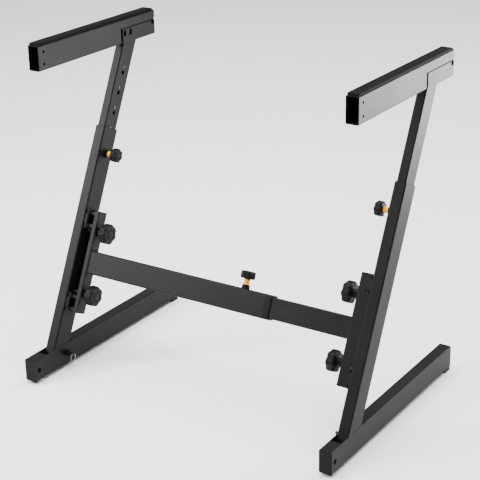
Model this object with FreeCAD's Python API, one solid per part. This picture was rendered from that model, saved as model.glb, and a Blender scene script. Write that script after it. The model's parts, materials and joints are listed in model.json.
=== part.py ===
import FreeCAD, Part
import math
import os

V = FreeCAD.Vector

# ---------------------------------------------------------------- driving dimensions (mm)
# The origin is on the floor, midway between the two side frames and midway along the legs.
# X runs across the stand, Y from the front to the rear, Z up.

# side frames
frame_spacing = 724.0        # between the centre planes of the two side frames
lean_angle = 25.7            # upright, from the vertical, its top towards the rear
clear = 0.3                  # between pieces that move past each other
running = 0.05               # radial clearance of a pin in its barrel

# leg: rectangular steel tube along Y
leg_length = 518.0
leg_height = 50.0
leg_width = 28.0
leg_wall = 1.2
leg_corner = 3.0
upright_setback = 64.3       # leg's front end to the upright's front face, at the leg's top
foot_drop = 6.5              # floor to the underside of the leg

# outer upright tube: rectangular steel tube, its long side front to rear
outer_width = 25.0
outer_depth = 48.0
outer_wall = 1.5
outer_corner = 3.0
outer_length = 494.0         # along the lean, above the top of the leg
stub_floor = 12.8            # inside of the leg's bottom wall to the end of the stub

# inner upright tube, with its numbered height holes
inner_width = 20.0
inner_depth = 42.0
inner_wall = 1.5
inner_corner = 2.5
hole_pitch = 45.0
hole_count = 6
holes_above_count = 4        # holes above the one that the height lock faces
hole_radius = 4.5
head_to_hole = 59.3          # first hole to the underside of the arm, along the lean
inner_tail = 40.0            # last hole to the lower end of the tube
guide_length = 40.0          # plastic guide in the mouth of the outer tube
guide_rim = 1.5
plug_depth = 18.0
plug_wall = 2.5              # of every hollow plug
plug_rim = 2.0

# arm: rectangular steel tube along Y, open at the front
arm_length = 388.0
arm_height = 52.0
arm_width = 27.0
arm_wall = 1.5
arm_corner = 3.0
arm_reach = 275.6            # arm's front end to the upright's front face, at the arm's underside
arm_heel = 4.0               # rise of the cut at the arm's rear end, to clear the head as it lifts
arm_hole_radius = 3.0
arm_hole_inset = 15.5        # from the front end
arm_hole_edge = 13.5         # from the top and from the underside

# arm head: folded steel box on the inner tube, flush with the arm
head_wall = 1.2
head_web = 2.0
head_lead = 3.5              # head's front edge, ahead of the upright's front face
head_gap = 5.0               # open slit between the arm's cut edge and the head
head_line = 32.5             # height of the head's upper edge above the arm's underside
head_corner = 3.0
head_reach = 60.0            # the inner tube reaches this far past the arm's underside before it is trimmed
tube_below_line = 4.0        # top of the inner tube below the head's upper edge
pivot_inset = 6.0            # pivot to the rear end of the arm
pivot_below_line = 6.0
pivot_radius = 3.5
pivot_head_radius = 5.5
pivot_head_height = 1.6
channel_wall = 2.0           # hinge channel welded inside the arm
channel_length = 52.0
window_height = 13.0         # pair of windows in the head's inner cheek
window_front = 8.0
window_rear = 10.0
window_tab = 10.0            # the tab left between the windows
window_inset = 5.0

# pad along the top of the arm
pad_width = 24.0
pad_height = 5.0
pad_inset = 2.0
pad_edge = 2.0
pad_bevel = 6.0

# crossbar: outer tube on the left, inner tube on the right, rolled with the lean
bar_height = 50.0
bar_depth = 25.0
bar_wall = 1.5
bar_corner = 3.0
bar_up = 201.5               # crossbar's axis, along the lean, above the top of the leg
bar_outer_end = 125.5        # X of the outer tube's right-hand end
bar_inner_height = 44.0
bar_inner_depth = 20.0
bar_inner_wall = 1.5
bar_inner_corner = 2.5
bar_inner_tail = -110.0      # X of the inner tube's left-hand end
collar_length = 13.0
collar_sleeve = 35.0

# hinge brackets: steel channels beside the uprights, open towards them
bracket_back = 29.5          # upright's inner face to the back of the channel
bracket_short = 10.5         # reach of the short flange from the back; the long one meets the upright
bracket_depth = 29.0
bracket_wall = 2.5
bracket_corner = 2.0
bracket_low = 88.0           # along the lean, above the top of the leg
bracket_high = 313.0
hinge_radius = 3.5
hinge_pin_radius = 2.2
hinge_depth = 6.5            # hinge axis behind the upright's front face
knuckle_upright = 20.0       # length of the upright's knuckle
knuckle_bracket = 7.0        # length of each of the bracket's knuckles
knuckle_tail = 5.0           # weld of a knuckle on the bracket's front wall
hinge_end = 3.0              # outermost knuckle to the end of the bracket

# clamp knobs on the brackets
clamp_high = 269.0           # along the lean
clamp_low = 132.0
clamp_radius = 22.5
clamp_thick = 18.5
clamp_neck_radius = 9.0
clamp_neck = 13.0
clamp_stud = 4.0

# pull-and-turn locks: height on each upright, width on the crossbar
lock_below_mouth = 55.0      # height lock below the mouth of the outer tube, along the lean
lock_radius = 15.5
lock_thick = 16.0
lock_boss_radius = 8.0
lock_boss = 8.0
lock_sleeve_radius = 6.5
lock_sleeve = 11.0
lock_plunger = 3.5
lock_nut_radius = 9.5
lock_nut = 3.0
lock_neck = 1.0
width_lock_x = 68.0

# lobes of all the knobs
knob_lobes = 7
lobe_half = 0.22             # half of a lobe's flat top, as a share of the pitch between lobes
flute_half = 0.12            # half of a flute's bottom, likewise
knob_waist = 0.87            # bottom of a flute, as a share of the knob's radius
knob_crown = 2.2

# leg hinge behind the foot of the upright
leg_hinge_radius = 3.0
leg_hinge_pin = 1.8
leg_hinge_gap = 0.4
leg_hinge_middle = 8.0
leg_hinge_side = 4.0

# spring pin that locks the leg, with its pull ring
leg_lock_behind = 36.4       # behind the upright's front face at the leg's top
leg_lock_up = 28.5           # above the underside of the leg
leg_lock_pin = 3.0
leg_lock_boss_radius = 7.0
leg_lock_boss = 10.0
leg_lock_grip_radius = 5.0
leg_lock_grip = 5.0
tongue_width = 3.6           # flat end of the pin, with the ring's eye through it
tongue_height = 6.0
tongue_eye = 3.0             # grip to the centre of the eye
eye_radius = 1.4
ring_radius = 7.6
ring_wire = 0.8
ring_sides = 14

# levelling cam in the front end of each leg
cam_inset = 10.5             # cam's axle to the leg's front end
cam_up = 24.6                # cam's axle above the underside of the leg
cam_width = 12.0
cam_hub = 11.0
cam_nose = 8.0
cam_turn = 40.0              # how far the coin turns it, nose to the rear
axle_radius = 5.5
coin_slot = 1.6
coin_depth = 1.5
coin_tilt = 25.0
cap_face = 2.0
cap_depth = 34.0

# rear end cap of each leg
rear_face = 2.0
rear_plug = 20.0
rear_foot = 23.0
foot_slope = 3.0
foot_edge = 1.5
foot_inset = 1.0

# ---------------------------------------------------------------- places worked out from them
half_spacing = frame_spacing / 2
lean = math.radians(lean_angle)
leg_front = -leg_length / 2
leg_rear = leg_length / 2
leg_top = foot_drop + leg_height
upright_y = leg_front + upright_setback

lock_up = outer_length - lock_below_mouth
head_up = lock_up + holes_above_count * hole_pitch + head_to_hole
arm_low = leg_top + head_up * math.cos(lean)
head_y = upright_y + head_up * math.sin(lean)
arm_front = head_y - arm_reach
arm_rear = arm_front + arm_length
head_front = head_y - head_lead
line_z = arm_low + head_line
pivot_y = arm_rear - pivot_inset
pivot_z = line_z - pivot_below_line

bracket_outer = -outer_width / 2 - clear
bracket_inner = -outer_width / 2 - bracket_back
bracket_front = (outer_depth - bracket_depth) / 2
bar_front = (outer_depth - bar_depth) / 2
hinge_x = -outer_width / 2 - clear - hinge_radius
middle_depth = outer_depth / 2

leg_hinge_rise = leg_hinge_radius + leg_hinge_gap
leg_hinge_z = leg_top + leg_hinge_rise
leg_hinge_depth = outer_depth + leg_hinge_rise
leg_hinge_y = upright_y + (leg_hinge_depth + leg_hinge_rise * math.sin(lean)) / math.cos(lean)
leg_hinge_up = (leg_hinge_y - upright_y) * math.sin(lean) + leg_hinge_rise * math.cos(lean)
stub_z = foot_drop + leg_wall + stub_floor
stub_front_y = upright_y - (leg_top - stub_z) * math.tan(lean)
stub_sweep = math.hypot(leg_hinge_y - stub_front_y, leg_hinge_z - stub_z)
slot_front = leg_hinge_y - math.sqrt(stub_sweep ** 2 - (leg_hinge_z - leg_top) ** 2) - 2 * clear
slot_rear = upright_y + outer_depth / math.cos(lean) + 2 * clear

cam_y = leg_front + cam_inset
cam_z = foot_drop + cam_up

# ---------------------------------------------------------------- shape helpers
PLANES = {
    "x": (V(0, 1, 0), V(0, 0, 1), V(1, 0, 0)),
    "y": (V(1, 0, 0), V(0, 0, 1), V(0, 1, 0)),
    "z": (V(1, 0, 0), V(0, 1, 0), V(0, 0, 1)),
}


def outline(axis, corners, level):
    """A closed wire through corners (p, q, radius), each rounded by a tangent arc."""
    p_way, q_way, out = PLANES[axis]
    points = [p_way * p + q_way * q + out * level for p, q, _ in corners]
    joints = []
    for i, (_, _, radius) in enumerate(corners):
        here = points[i]
        if radius <= 0:
            joints.append((here, here, here))
            continue
        back = (points[i - 1] - here).normalize()
        ahead = (points[(i + 1) % len(points)] - here).normalize()
        half = back.getAngle(ahead) / 2
        middle = (back + ahead).normalize()
        reach = radius / math.tan(half)
        crest = here + middle * (radius / math.sin(half) - radius)
        joints.append((here + back * reach, crest, here + ahead * reach))
    edges = []
    for i, (enter, crest, leave) in enumerate(joints):
        before = joints[i - 1][2]
        if before.distanceToPoint(enter) > 1e-6:
            edges.append(Part.makeLine(before, enter))
        if enter.distanceToPoint(leave) > 1e-6:
            edges.append(Part.Arc(enter, crest, leave).toShape())
    return Part.Wire(Part.__sortEdges__(edges))


def slab(axis, corners, start, end):
    """The outline in the plane across the axis, made solid from start to end along it."""
    face = Part.Face(outline(axis, corners, start))
    return face.extrude(PLANES[axis][2] * (end - start))


def bar(axis, p0, p1, q0, q1, radius, start, end):
    """A solid bar of rounded rectangular section."""
    corners = [(p0, q0, radius), (p1, q0, radius), (p1, q1, radius), (p0, q1, radius)]
    return slab(axis, corners, start, end)


def tube(axis, p0, p1, q0, q1, radius, wall, start, end):
    """A rectangular tube, open at both ends, square inside."""
    inside = bar(axis, p0 + wall, p1 - wall, q0 + wall, q1 - wall, 0, start - 1, end + 1)
    return bar(axis, p0, p1, q0, q1, radius, start, end).cut(inside)


def box(x0, x1, y0, y1, z0, z1):
    return Part.makeBox(x1 - x0, y1 - y0, z1 - z0, V(x0, y0, z0))


def rod(axis, p, q, radius, start, end):
    """A round bar along an axis, its centre at (p, q) in the plane across it."""
    p_way, q_way, out = PLANES[axis]
    return Part.makeCylinder(radius, end - start, p_way * p + q_way * q + out * start, out)


def fuse(*pieces):
    return pieces[0].fuse(list(pieces[1:])).removeSplitter()


def leaned(shape):
    """From the upright's own frame (x, depth, up the lean) to the stand's."""
    moved = shape.copy()
    moved.rotate(V(0, 0, 0), V(1, 0, 0), -lean_angle)
    moved.translate(V(0, upright_y, leg_top))
    return moved


def fluted(radius, level):
    """Closed outline of a knob at one height: flat-topped lobes with a flat-bottomed flute between."""
    corners = []
    for lobe in range(knob_lobes):
        for share, reach in ((-lobe_half, 1.0), (lobe_half, 1.0), (0.5 - flute_half, knob_waist),
                             (0.5 + flute_half, knob_waist)):
            turn = 2 * math.pi * (lobe + share) / knob_lobes
            corners.append(V(reach * radius * math.cos(turn), reach * radius * math.sin(turn), level))
    return Part.makePolygon(corners + corners[:1])


def knob(radius, thick, neck_radius, neck):
    """A lobed hand knob along +Z: round neck from 0, then the fluted head with its bevelled crown."""
    seat = fluted(radius, neck)
    shoulder = fluted(radius, neck + thick - knob_crown)
    rim = fluted(radius - knob_crown, neck + thick)
    head = Part.makeLoft([seat, shoulder], True, True).fuse(Part.makeLoft([shoulder, rim], True, True))
    return fuse(head, rod("z", 0, 0, neck_radius, 0, neck + 1))


def along_x(shape, x, depth, up):
    """Turns a piece made along +Z to point inward (-X) from a place on the upright."""
    moved = shape.copy()
    moved.rotate(V(0, 0, 0), V(0, 1, 0), -90)
    moved.translate(V(x, depth, up))
    return moved


def whole(shape):
    """The one solid in a boolean's result."""
    solids = shape.Solids
    if len(solids) != 1:
        raise ValueError("expected one solid, found %d" % len(solids))
    return solids[0]


def save(name, *shapes):
    solids = [whole(shape) for shape in shapes]
    piece = solids[0] if len(solids) == 1 else Part.makeCompound(solids)
    piece.exportStep("parts/%s.step" % name)


def save_right(name, *shapes):
    """A piece modelled about a side frame's own plane, moved out to the right-hand frame."""
    save(name + "_right", *[shape.translated(V(half_spacing, 0, 0)) for shape in shapes])


def save_left(name, *shapes):
    """The same, as a mirror image on the left-hand frame."""
    moved = [shape.translated(V(half_spacing, 0, 0)) for shape in shapes]
    save(name + "_left", *[shape.mirror(V(0, 0, 0), V(1, 0, 0)) for shape in moved])


def save_pair(name, *shapes):
    save_right(name, *shapes)
    save_left(name, *shapes)


# ---------------------------------------------------------------- legs
def leg_tube():
    """The leg, with the slot that the upright's stub swings through, and its two hinge knuckles."""
    half = leg_width / 2
    body = tube("y", -half, half, foot_drop, leg_top, leg_corner, leg_wall, leg_front, leg_rear)
    side = half - leg_wall
    slot = box(-side, side, slot_front, slot_rear, leg_top - 2 * leg_wall, leg_top + 1)
    nose = cam_nose + 2 * clear
    cam_slot = box(-cam_width / 2 - clear, cam_width / 2 + clear, cam_y - nose, cam_y + cam_sweep() + nose,
                   foot_drop - 1, foot_drop + 2 * leg_wall)
    axle = rod("x", cam_y, cam_z, axle_radius + clear, -half - 1, half + 1)
    pin_y = upright_y + leg_lock_behind
    pin = rod("x", pin_y, foot_drop + leg_lock_up, leg_lock_pin + running, -half - 1, -half + 2 * leg_wall)
    body = body.cut([slot, cam_slot, axle, pin])
    middle = leg_hinge_middle / 2 + clear
    knuckles = []
    for x0 in (-middle - leg_hinge_side, middle):
        barrel = rod("x", leg_hinge_y, leg_hinge_z, leg_hinge_radius, x0, x0 + leg_hinge_side)
        base = box(x0, x0 + leg_hinge_side, leg_hinge_y - leg_hinge_radius, leg_hinge_y + leg_hinge_radius,
                   leg_top - leg_wall / 2, leg_hinge_z)
        knuckles.append(barrel.fuse(base))
    bore = rod("x", leg_hinge_y, leg_hinge_z, leg_hinge_pin, -half, half)
    return fuse(body, *knuckles).cut(bore)


def cam_throw():
    """Axle to the centre of the cam's nose, so that the nose stands on the floor."""
    return cam_z - cam_nose


def cam_sweep():
    """How far back the nose goes when the cam is turned up."""
    return cam_throw() * math.sin(math.radians(cam_turn))


def leg_front_cap():
    """Plastic end cap that carries the cam: a face on the tube's end and a slotted block inside."""
    half = leg_width / 2
    side = half - leg_wall
    face = bar("y", -half, half, foot_drop, leg_top, leg_corner, leg_front - cap_face, leg_front)
    inner_end = leg_front + cap_depth
    block = bar("y", -side, side, foot_drop + leg_wall, leg_top - leg_wall, 0, leg_front, inner_end)
    room = cam_width / 2 + clear
    slot = box(-room, room, cam_y - cam_hub - 2 * clear, inner_end + 1, foot_drop - 1,
               cam_z + cam_hub + 2 * clear)
    axle = rod("x", cam_y, cam_z, axle_radius + running, -half, half)
    return fuse(face, block).cut([slot, axle])


def levelling_cam():
    """Cam that is turned with a coin: hub and nose with flanks tangent to both, and its axle."""
    throw = cam_throw()
    tilt = math.asin((cam_hub - cam_nose) / throw)
    hub = V(0, cam_y, cam_z)
    nose = V(0, cam_y, cam_z - throw)
    left = V(0, -math.cos(tilt), -math.sin(tilt))
    right = V(0, math.cos(tilt), -math.sin(tilt))
    up = V(0, 0, 1)
    edges = [Part.Arc(hub + left * cam_hub, hub + up * cam_hub, hub + right * cam_hub).toShape(),
             Part.makeLine(hub + right * cam_hub, nose + right * cam_nose),
             Part.Arc(nose + right * cam_nose, nose - up * cam_nose, nose + left * cam_nose).toShape(),
             Part.makeLine(nose + left * cam_nose, hub + left * cam_hub)]
    plate = Part.Face(Part.Wire(edges)).extrude(V(cam_width, 0, 0))
    plate.translate(V(-cam_width / 2, 0, 0))
    reach = leg_width / 2
    body = fuse(plate, rod("x", cam_y, cam_z, axle_radius, -reach, reach))
    for start in (-reach, reach - coin_depth):
        slot = box(start, start + coin_depth, cam_y - axle_radius - 1, cam_y + axle_radius + 1,
                   cam_z - coin_slot / 2, cam_z + coin_slot / 2)
        slot.rotate(hub, V(1, 0, 0), 90 - coin_tilt)
        body = body.cut(slot)
    return body


def leg_rear_cap():
    """Plastic end cap: face, ribbed plug and the foot under the tube."""
    half = leg_width / 2
    side = half - leg_wall
    face = bar("y", -half, half, foot_drop, leg_top, leg_corner, leg_rear, leg_rear + rear_face)
    low = foot_drop + leg_wall
    high = leg_top - leg_wall
    plug = bar("y", -side, side, low, high, 0, leg_rear - rear_plug, leg_rear)
    core = bar("y", -side + plug_wall, side - plug_wall, low + plug_wall, high - plug_wall, 0,
               leg_rear - rear_plug - 1, leg_rear - plug_wall)
    back = leg_rear + rear_face
    toe = leg_rear - rear_foot
    root = foot_drop + leg_corner
    foot = slab("x", [(toe, foot_drop, 0), (toe + foot_slope, 0, 0), (back - foot_edge, 0, 0),
                      (back, foot_edge, 0), (back, root, 0), (leg_rear, root, 0), (leg_rear, foot_drop, 0)],
                -half + foot_inset, half - foot_inset)
    return fuse(face, plug.cut(core), foot)


def leg_hinge_rivet():
    reach = leg_hinge_middle / 2 + clear + leg_hinge_side
    return rod("x", leg_hinge_y, leg_hinge_z, leg_hinge_pin, -reach, reach)


def leg_lock():
    """Boss on the leg's inner face, the spring pin in it, and the ring through the pin's grip."""
    y = upright_y + leg_lock_behind
    z = foot_drop + leg_lock_up
    face = -leg_width / 2
    boss = rod("x", y, z, leg_lock_boss_radius, face - leg_lock_boss, face)
    boss = boss.cut(rod("x", y, z, leg_lock_pin + running, face - leg_lock_boss - 1, face + 1))
    tip = -outer_width / 2 - clear
    grip_end = face - leg_lock_boss - clear - leg_lock_grip
    eye_x = grip_end - tongue_eye
    pin = rod("x", y, z, leg_lock_pin, grip_end, tip)
    grip = rod("x", y, z, leg_lock_grip_radius, grip_end, face - leg_lock_boss - clear)
    tongue = box(eye_x - tongue_height / 2, grip_end + 1, y - tongue_width / 2, y + tongue_width / 2,
                 z - tongue_height / 2, z + tongue_height / 2)
    eye = rod("y", eye_x, z, eye_radius, y - tongue_width, y + tongue_width)
    pin = fuse(pin, grip, tongue).cut(eye)
    return boss, pin, pull_ring(V(eye_x, y, z - ring_radius))


def pull_ring(centre):
    """Wire ring in the plane across X: straight lengths of six-sided wire, mitred where they meet."""
    rows = []
    for i in range(ring_sides):
        turn = 2 * math.pi * (i + 0.5) / ring_sides
        out = V(0, math.cos(turn), math.sin(turn))
        row = []
        for j in range(6):
            bend = math.pi * j / 3
            side = V(ring_wire * math.sin(bend), 0, 0)
            row.append(centre + out * (ring_radius + ring_wire * math.cos(bend)) + side)
        rows.append(row)
    faces = []
    for i in range(ring_sides):
        here = rows[i - 1]
        there = rows[i]
        for j in range(6):
            corners = [here[j - 1], here[j], there[j], there[j - 1]]
            faces.append(Part.Face(Part.makePolygon(corners + corners[:1])))
    ring = Part.makeSolid(Part.makeShell(faces))
    return ring if ring.Volume > 0 else ring.reversed()


# ---------------------------------------------------------------- uprights
def upright_outer():
    """Outer tube with its stub, the hinge knuckles on its inner face and the leg's knuckle behind."""
    half = outer_width / 2
    low = -(leg_top - foot_drop) / math.cos(lean) - outer_depth
    body = tube("z", -half, half, 0, outer_depth, outer_corner, outer_wall, low, outer_length)
    knuckles = []
    for low_end, high_end in hinge_spans("upright"):
        barrel = rod("z", hinge_x, hinge_depth, hinge_radius, low_end, high_end)
        web = box(hinge_x, -half + outer_wall / 2, hinge_depth - hinge_radius, hinge_depth + hinge_radius,
                  low_end, high_end)
        bore = rod("z", hinge_x, hinge_depth, hinge_pin_radius + running, low_end - 1, high_end + 1)
        knuckles.append(barrel.fuse(web).cut(bore))
    lock_hole = rod("x", middle_depth, lock_up, lock_plunger + clear, -half - 1, -half + 2 * outer_wall)
    body = leaned(fuse(body.cut(lock_hole), *knuckles))
    body = body.cut(box(-leg_width, leg_width, upright_y - leg_height, leg_hinge_y + leg_height, low, stub_z))
    pin = rod("x", upright_y + leg_lock_behind, foot_drop + leg_lock_up, leg_lock_pin + clear,
              -half - 1, -half + 2 * outer_wall)
    middle = leg_hinge_middle / 2
    barrel = rod("x", leg_hinge_y, leg_hinge_z, leg_hinge_radius, -middle, middle)
    web = leaned(box(-middle, middle, outer_depth - outer_wall / 2, leg_hinge_depth,
                     leg_hinge_up - leg_hinge_radius, leg_hinge_up + leg_hinge_radius))
    bore = rod("x", leg_hinge_y, leg_hinge_z, leg_hinge_pin + running, -middle - 1, middle + 1)
    return fuse(body.cut(pin), barrel, web).cut(bore)


def hinge_spans(part):
    """Ranges along the lean of the knuckles at the two ends of the bracket."""
    length = 2 * knuckle_bracket + 2 * clear + knuckle_upright
    spans = []
    for start in (bracket_low + hinge_end, bracket_high - hinge_end - length):
        middle = start + knuckle_bracket + clear
        if part == "upright":
            spans.append((middle, middle + knuckle_upright))
        elif part == "bracket":
            spans.append((start, start + knuckle_bracket))
            spans.append((start + length - knuckle_bracket, start + length))
        else:
            spans.append((start, start + length))
    return spans


def guide_bush():
    """Plastic guide in the mouth of the outer tube, with a thin rim on its end."""
    half = outer_width / 2
    inner_half = inner_width / 2 + clear
    front = (outer_depth - inner_depth) / 2 - clear
    rim = bar("z", -half, half, 0, outer_depth, outer_corner, outer_length, outer_length + guide_rim)
    sleeve = bar("z", -half + outer_wall, half - outer_wall, outer_wall, outer_depth - outer_wall, 0,
                 outer_length - guide_length, outer_length)
    way = bar("z", -inner_half, inner_half, front, outer_depth - front, 0,
              outer_length - guide_length - 1, outer_length + guide_rim + 1)
    return leaned(fuse(rim, sleeve).cut(way))


def upright_inner():
    """Inner tube with its height holes, cut level inside the head."""
    half = inner_width / 2
    front = (outer_depth - inner_depth) / 2
    first = head_up - head_to_hole
    low = first - (hole_count - 1) * hole_pitch - inner_tail
    body = tube("z", -half, half, front, outer_depth - front, inner_corner, inner_wall,
                low, head_up + head_reach)
    for i in range(hole_count):
        up = first - i * hole_pitch
        body = body.cut(rod("x", middle_depth, up, hole_radius, -half - 1, -half + 2 * inner_wall))
    body = leaned(body)
    top = line_z - tube_below_line
    return body.cut(box(-half, half, head_y - outer_depth, arm_rear + outer_depth, top, top + 2 * head_reach))


def inner_plug():
    """Plastic plug in the lower end of the inner tube."""
    half = inner_width / 2 - inner_wall
    front = (outer_depth - inner_depth) / 2 + inner_wall
    low = head_up - head_to_hole - (hole_count - 1) * hole_pitch - inner_tail
    plug = bar("z", -half, half, front, outer_depth - front, 0, low, low + plug_depth)
    rim = bar("z", -inner_width / 2, inner_width / 2, front - inner_wall, outer_depth - front + inner_wall,
              inner_corner, low - plug_rim, low)
    hollow = front + plug_wall
    core = bar("z", -half + plug_wall, half - plug_wall, hollow, outer_depth - hollow, 0,
               low + plug_wall, low + plug_depth + 1)
    return leaned(fuse(plug.cut(core), rim))


# ---------------------------------------------------------------- arm head and arm
def arm_head():
    """Two cheeks flush with the arm, a front web and a floor that the inner tube passes through."""
    half = arm_width / 2
    cheek_outline = [(head_front, arm_low, head_corner), (arm_rear, arm_low, head_corner),
                     (arm_rear, line_z, pivot_inset), (head_front, line_z, head_corner)]
    cheeks = [slab("x", cheek_outline, -half, -half + head_wall),
              slab("x", cheek_outline, half - head_wall, half)]
    web_low = arm_low + head_corner
    web = box(-half, half, head_front, head_front + head_web, web_low, line_z - head_corner)
    floor = box(-half, half, head_front + head_corner, arm_rear - head_corner, arm_low, arm_low + head_web)
    lip = box(-half, half, head_front, head_front + head_corner, arm_low + head_web, web_low)
    lip = lip.common(slab("x", cheek_outline, -half, half))
    corner = slab("x", cheek_outline, -half, half).common(
        box(-half, half, head_front, head_front + head_corner, arm_low, arm_low + head_web))
    body = fuse(*cheeks, web, floor, lip, corner)
    front = (outer_depth - inner_depth) / 2
    post = leaned(bar("z", -inner_width / 2, inner_width / 2, front, outer_depth - front, inner_corner,
                      head_up - head_reach, head_up + head_reach))
    pivot = rod("x", pivot_y, pivot_z, pivot_radius, -half - 1, half + 1)
    top = line_z - window_inset
    start = head_front + window_inset
    first = box(-half - 1, -half + head_wall + 1, start, start + window_front, top - window_height, top)
    start = start + window_front + window_tab
    second = box(-half - 1, -half + head_wall + 1, start, start + window_rear, top - window_height, top)
    return body.cut([post, pivot, first, second])


def arm_tube():
    """Arm tube, its rear cut away in an L to clear the head, with two holes near the open front."""
    half = arm_width / 2
    body = tube("y", -half, half, arm_low, arm_low + arm_height, arm_corner, arm_wall, arm_front, arm_rear)
    cut_front = head_front - head_gap
    edge = line_z + clear
    away = slab("x", [(cut_front, arm_low - 1, 0), (arm_rear + 1, arm_low - 1, 0),
                      (arm_rear + 1, edge + arm_heel, 0), (pivot_y - arm_heel / 2, edge, 0),
                      (cut_front, edge, 0)],
                -half - 1, half + 1)
    holes = []
    for z in (arm_low + arm_hole_edge, arm_low + arm_height - arm_hole_edge):
        holes.append(rod("x", arm_front + arm_hole_inset, z, arm_hole_radius, -half - 1, half + 1))
    return body.cut([away] + holes)


def hinge_channel():
    """Channel welded under the arm's top wall, its two ears on the pivot inside the head."""
    half = arm_width / 2 - arm_wall
    top = arm_low + arm_height - arm_wall
    front = arm_rear - channel_length
    ear = [(front, line_z + channel_wall, 0), (pivot_y - pivot_inset, pivot_z - pivot_inset, pivot_inset),
           (arm_rear, pivot_z - pivot_inset, pivot_inset - clear), (arm_rear, top, 0), (front, top, 0)]
    ears = [slab("x", ear, -half, -half + channel_wall), slab("x", ear, half - channel_wall, half)]
    web = box(-half + channel_wall / 2, half - channel_wall / 2, front + channel_wall, arm_rear - arm_corner,
              top - channel_wall, top)
    pivot = rod("x", pivot_y, pivot_z, pivot_radius + running, -half - 1, half + 1)
    return fuse(*ears, web).cut(pivot)


def arm_pivot():
    """Pivot bolt through both cheeks, a low head on each side."""
    half = arm_width / 2
    shank = rod("x", pivot_y, pivot_z, pivot_radius, -half, half)
    heads = [rod("x", pivot_y, pivot_z, pivot_head_radius, half, half + pivot_head_height),
             rod("x", pivot_y, pivot_z, pivot_head_radius, -half - pivot_head_height, -half)]
    return fuse(shank, *heads)


def arm_pad():
    """Pad on the arm's top wall, its long edges rounded and its ends bevelled."""
    half = pad_width / 2
    low = arm_low + arm_height
    high = low + pad_height
    front = arm_front + pad_inset
    rear = arm_rear - pad_inset
    section = slab("y", [(-half, low, 0), (half, low, 0), (half, high, pad_edge), (-half, high, pad_edge)],
                   front, rear)
    ends = slab("x", [(front, low, 0), (rear, low, 0), (rear - pad_bevel, high, 0),
                      (front + pad_edge, high, 0)], -half - 1, half + 1)
    return section.common(ends)


# ---------------------------------------------------------------- brackets, crossbar, knobs
def hinge_bracket(short_side):
    """Channel closed at its ends, its flange on one side cut short, with the four bracket knuckles."""
    rear = bracket_front + bracket_depth
    section = [(bracket_inner, bracket_front, bracket_corner), (bracket_outer, bracket_front, 0),
               (bracket_outer, rear, 0), (bracket_inner, rear, bracket_corner)]
    body = slab("z", section, bracket_low, bracket_high)
    hollow = box(bracket_inner + bracket_wall, bracket_outer + 1, bracket_front + bracket_wall,
                 rear - bracket_wall, bracket_low + bracket_wall, bracket_high - bracket_wall)
    front_half = (bracket_front - 1, middle_depth)
    rear_half = (middle_depth, rear + 1)
    near, far = front_half if short_side == "front" else rear_half
    cuts = [hollow, box(bracket_inner + bracket_short, bracket_outer + 1, near, far,
                        bracket_low - 1, bracket_high + 1)]
    flange_end = hinge_x - hinge_radius - clear
    for low_end, high_end in hinge_spans("pin"):
        cuts.append(box(flange_end, bracket_outer + 1, bracket_front - 1, middle_depth,
                        low_end - hinge_end, high_end + hinge_end))
    body = body.cut(cuts)
    pieces = []
    for low_end, high_end in hinge_spans("bracket"):
        barrel = rod("z", hinge_x, hinge_depth, hinge_radius, low_end, high_end)
        web = slab("z", [(hinge_x, hinge_depth - hinge_radius, 0), (hinge_x, hinge_depth + hinge_radius, 0),
                         (flange_end, bracket_front + bracket_wall, 0),
                         (bracket_inner + bracket_wall / 2, bracket_front + bracket_wall, 0),
                         (bracket_inner + bracket_wall / 2, bracket_front + bracket_wall / 2, 0),
                         (flange_end - knuckle_tail, bracket_front, 0),
                         (hinge_x - bracket_wall / 2, hinge_depth - hinge_radius, 0)],
                   low_end, high_end)
        pieces.append(barrel.fuse(web))
    body = fuse(body, *pieces)
    bores = [rod("z", hinge_x, hinge_depth, hinge_pin_radius, low_end - 1, high_end + 1)
             for low_end, high_end in hinge_spans("pin")]
    studs = [rod("x", middle_depth, up, clamp_stud + running,
                 bracket_inner - 1, bracket_inner + 2 * bracket_wall) for up in (clamp_low, clamp_high)]
    return leaned(body.cut(bores + studs))


def hinge_pins():
    return [leaned(rod("z", hinge_x, hinge_depth, hinge_pin_radius, low_end, high_end))
            for low_end, high_end in hinge_spans("pin")]


def clamp_knob(up):
    """Lobed knob with its stud through the bracket, just short of the upright's face."""
    reach = -outer_width / 2 - clear
    start = bracket_inner - clear
    head = along_x(knob(clamp_radius, clamp_thick, clamp_neck_radius, clamp_neck), start, middle_depth, up)
    stud = rod("x", middle_depth, up, clamp_stud, start - clamp_neck / 2, reach)
    return leaned(fuse(head, stud))


def lock_pieces(wall_to_nose):
    """Boss, coloured sleeve with its plunger, and knob, along +Z from the tube's face."""
    boss = rod("z", 0, 0, lock_boss_radius, 0, lock_boss)
    nut = slab("z", hexagon(lock_nut_radius), 0, lock_nut)
    boss = fuse(boss, nut).cut(rod("z", 0, 0, lock_plunger + running, -1, lock_boss + 1))
    start = lock_boss + clear
    sleeve = rod("z", 0, 0, lock_sleeve_radius, start, start + lock_sleeve)
    plunger = rod("z", 0, 0, lock_plunger, -wall_to_nose, start + lock_sleeve + lock_thick / 2)
    sleeve = fuse(sleeve, plunger)
    seat = start + lock_sleeve
    head = knob(lock_radius, lock_thick, lock_sleeve_radius, lock_neck)
    head.translate(V(0, 0, seat))
    head = head.cut(rod("z", 0, 0, lock_plunger + running, seat - 1, seat + lock_thick / 2 + running))
    return boss, sleeve, head


def hexagon(radius):
    corners = []
    for i in range(6):
        turn = math.pi * i / 3
        corners.append((radius * math.cos(turn), radius * math.sin(turn), 0))
    return corners


def height_lock():
    """The lock on the upright's inner face, its plunger facing one of the height holes."""
    to_nose = (outer_width - inner_width) / 2 - clear
    return [leaned(along_x(piece, -outer_width / 2, middle_depth, lock_up)) for piece in lock_pieces(to_nose)]


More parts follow.
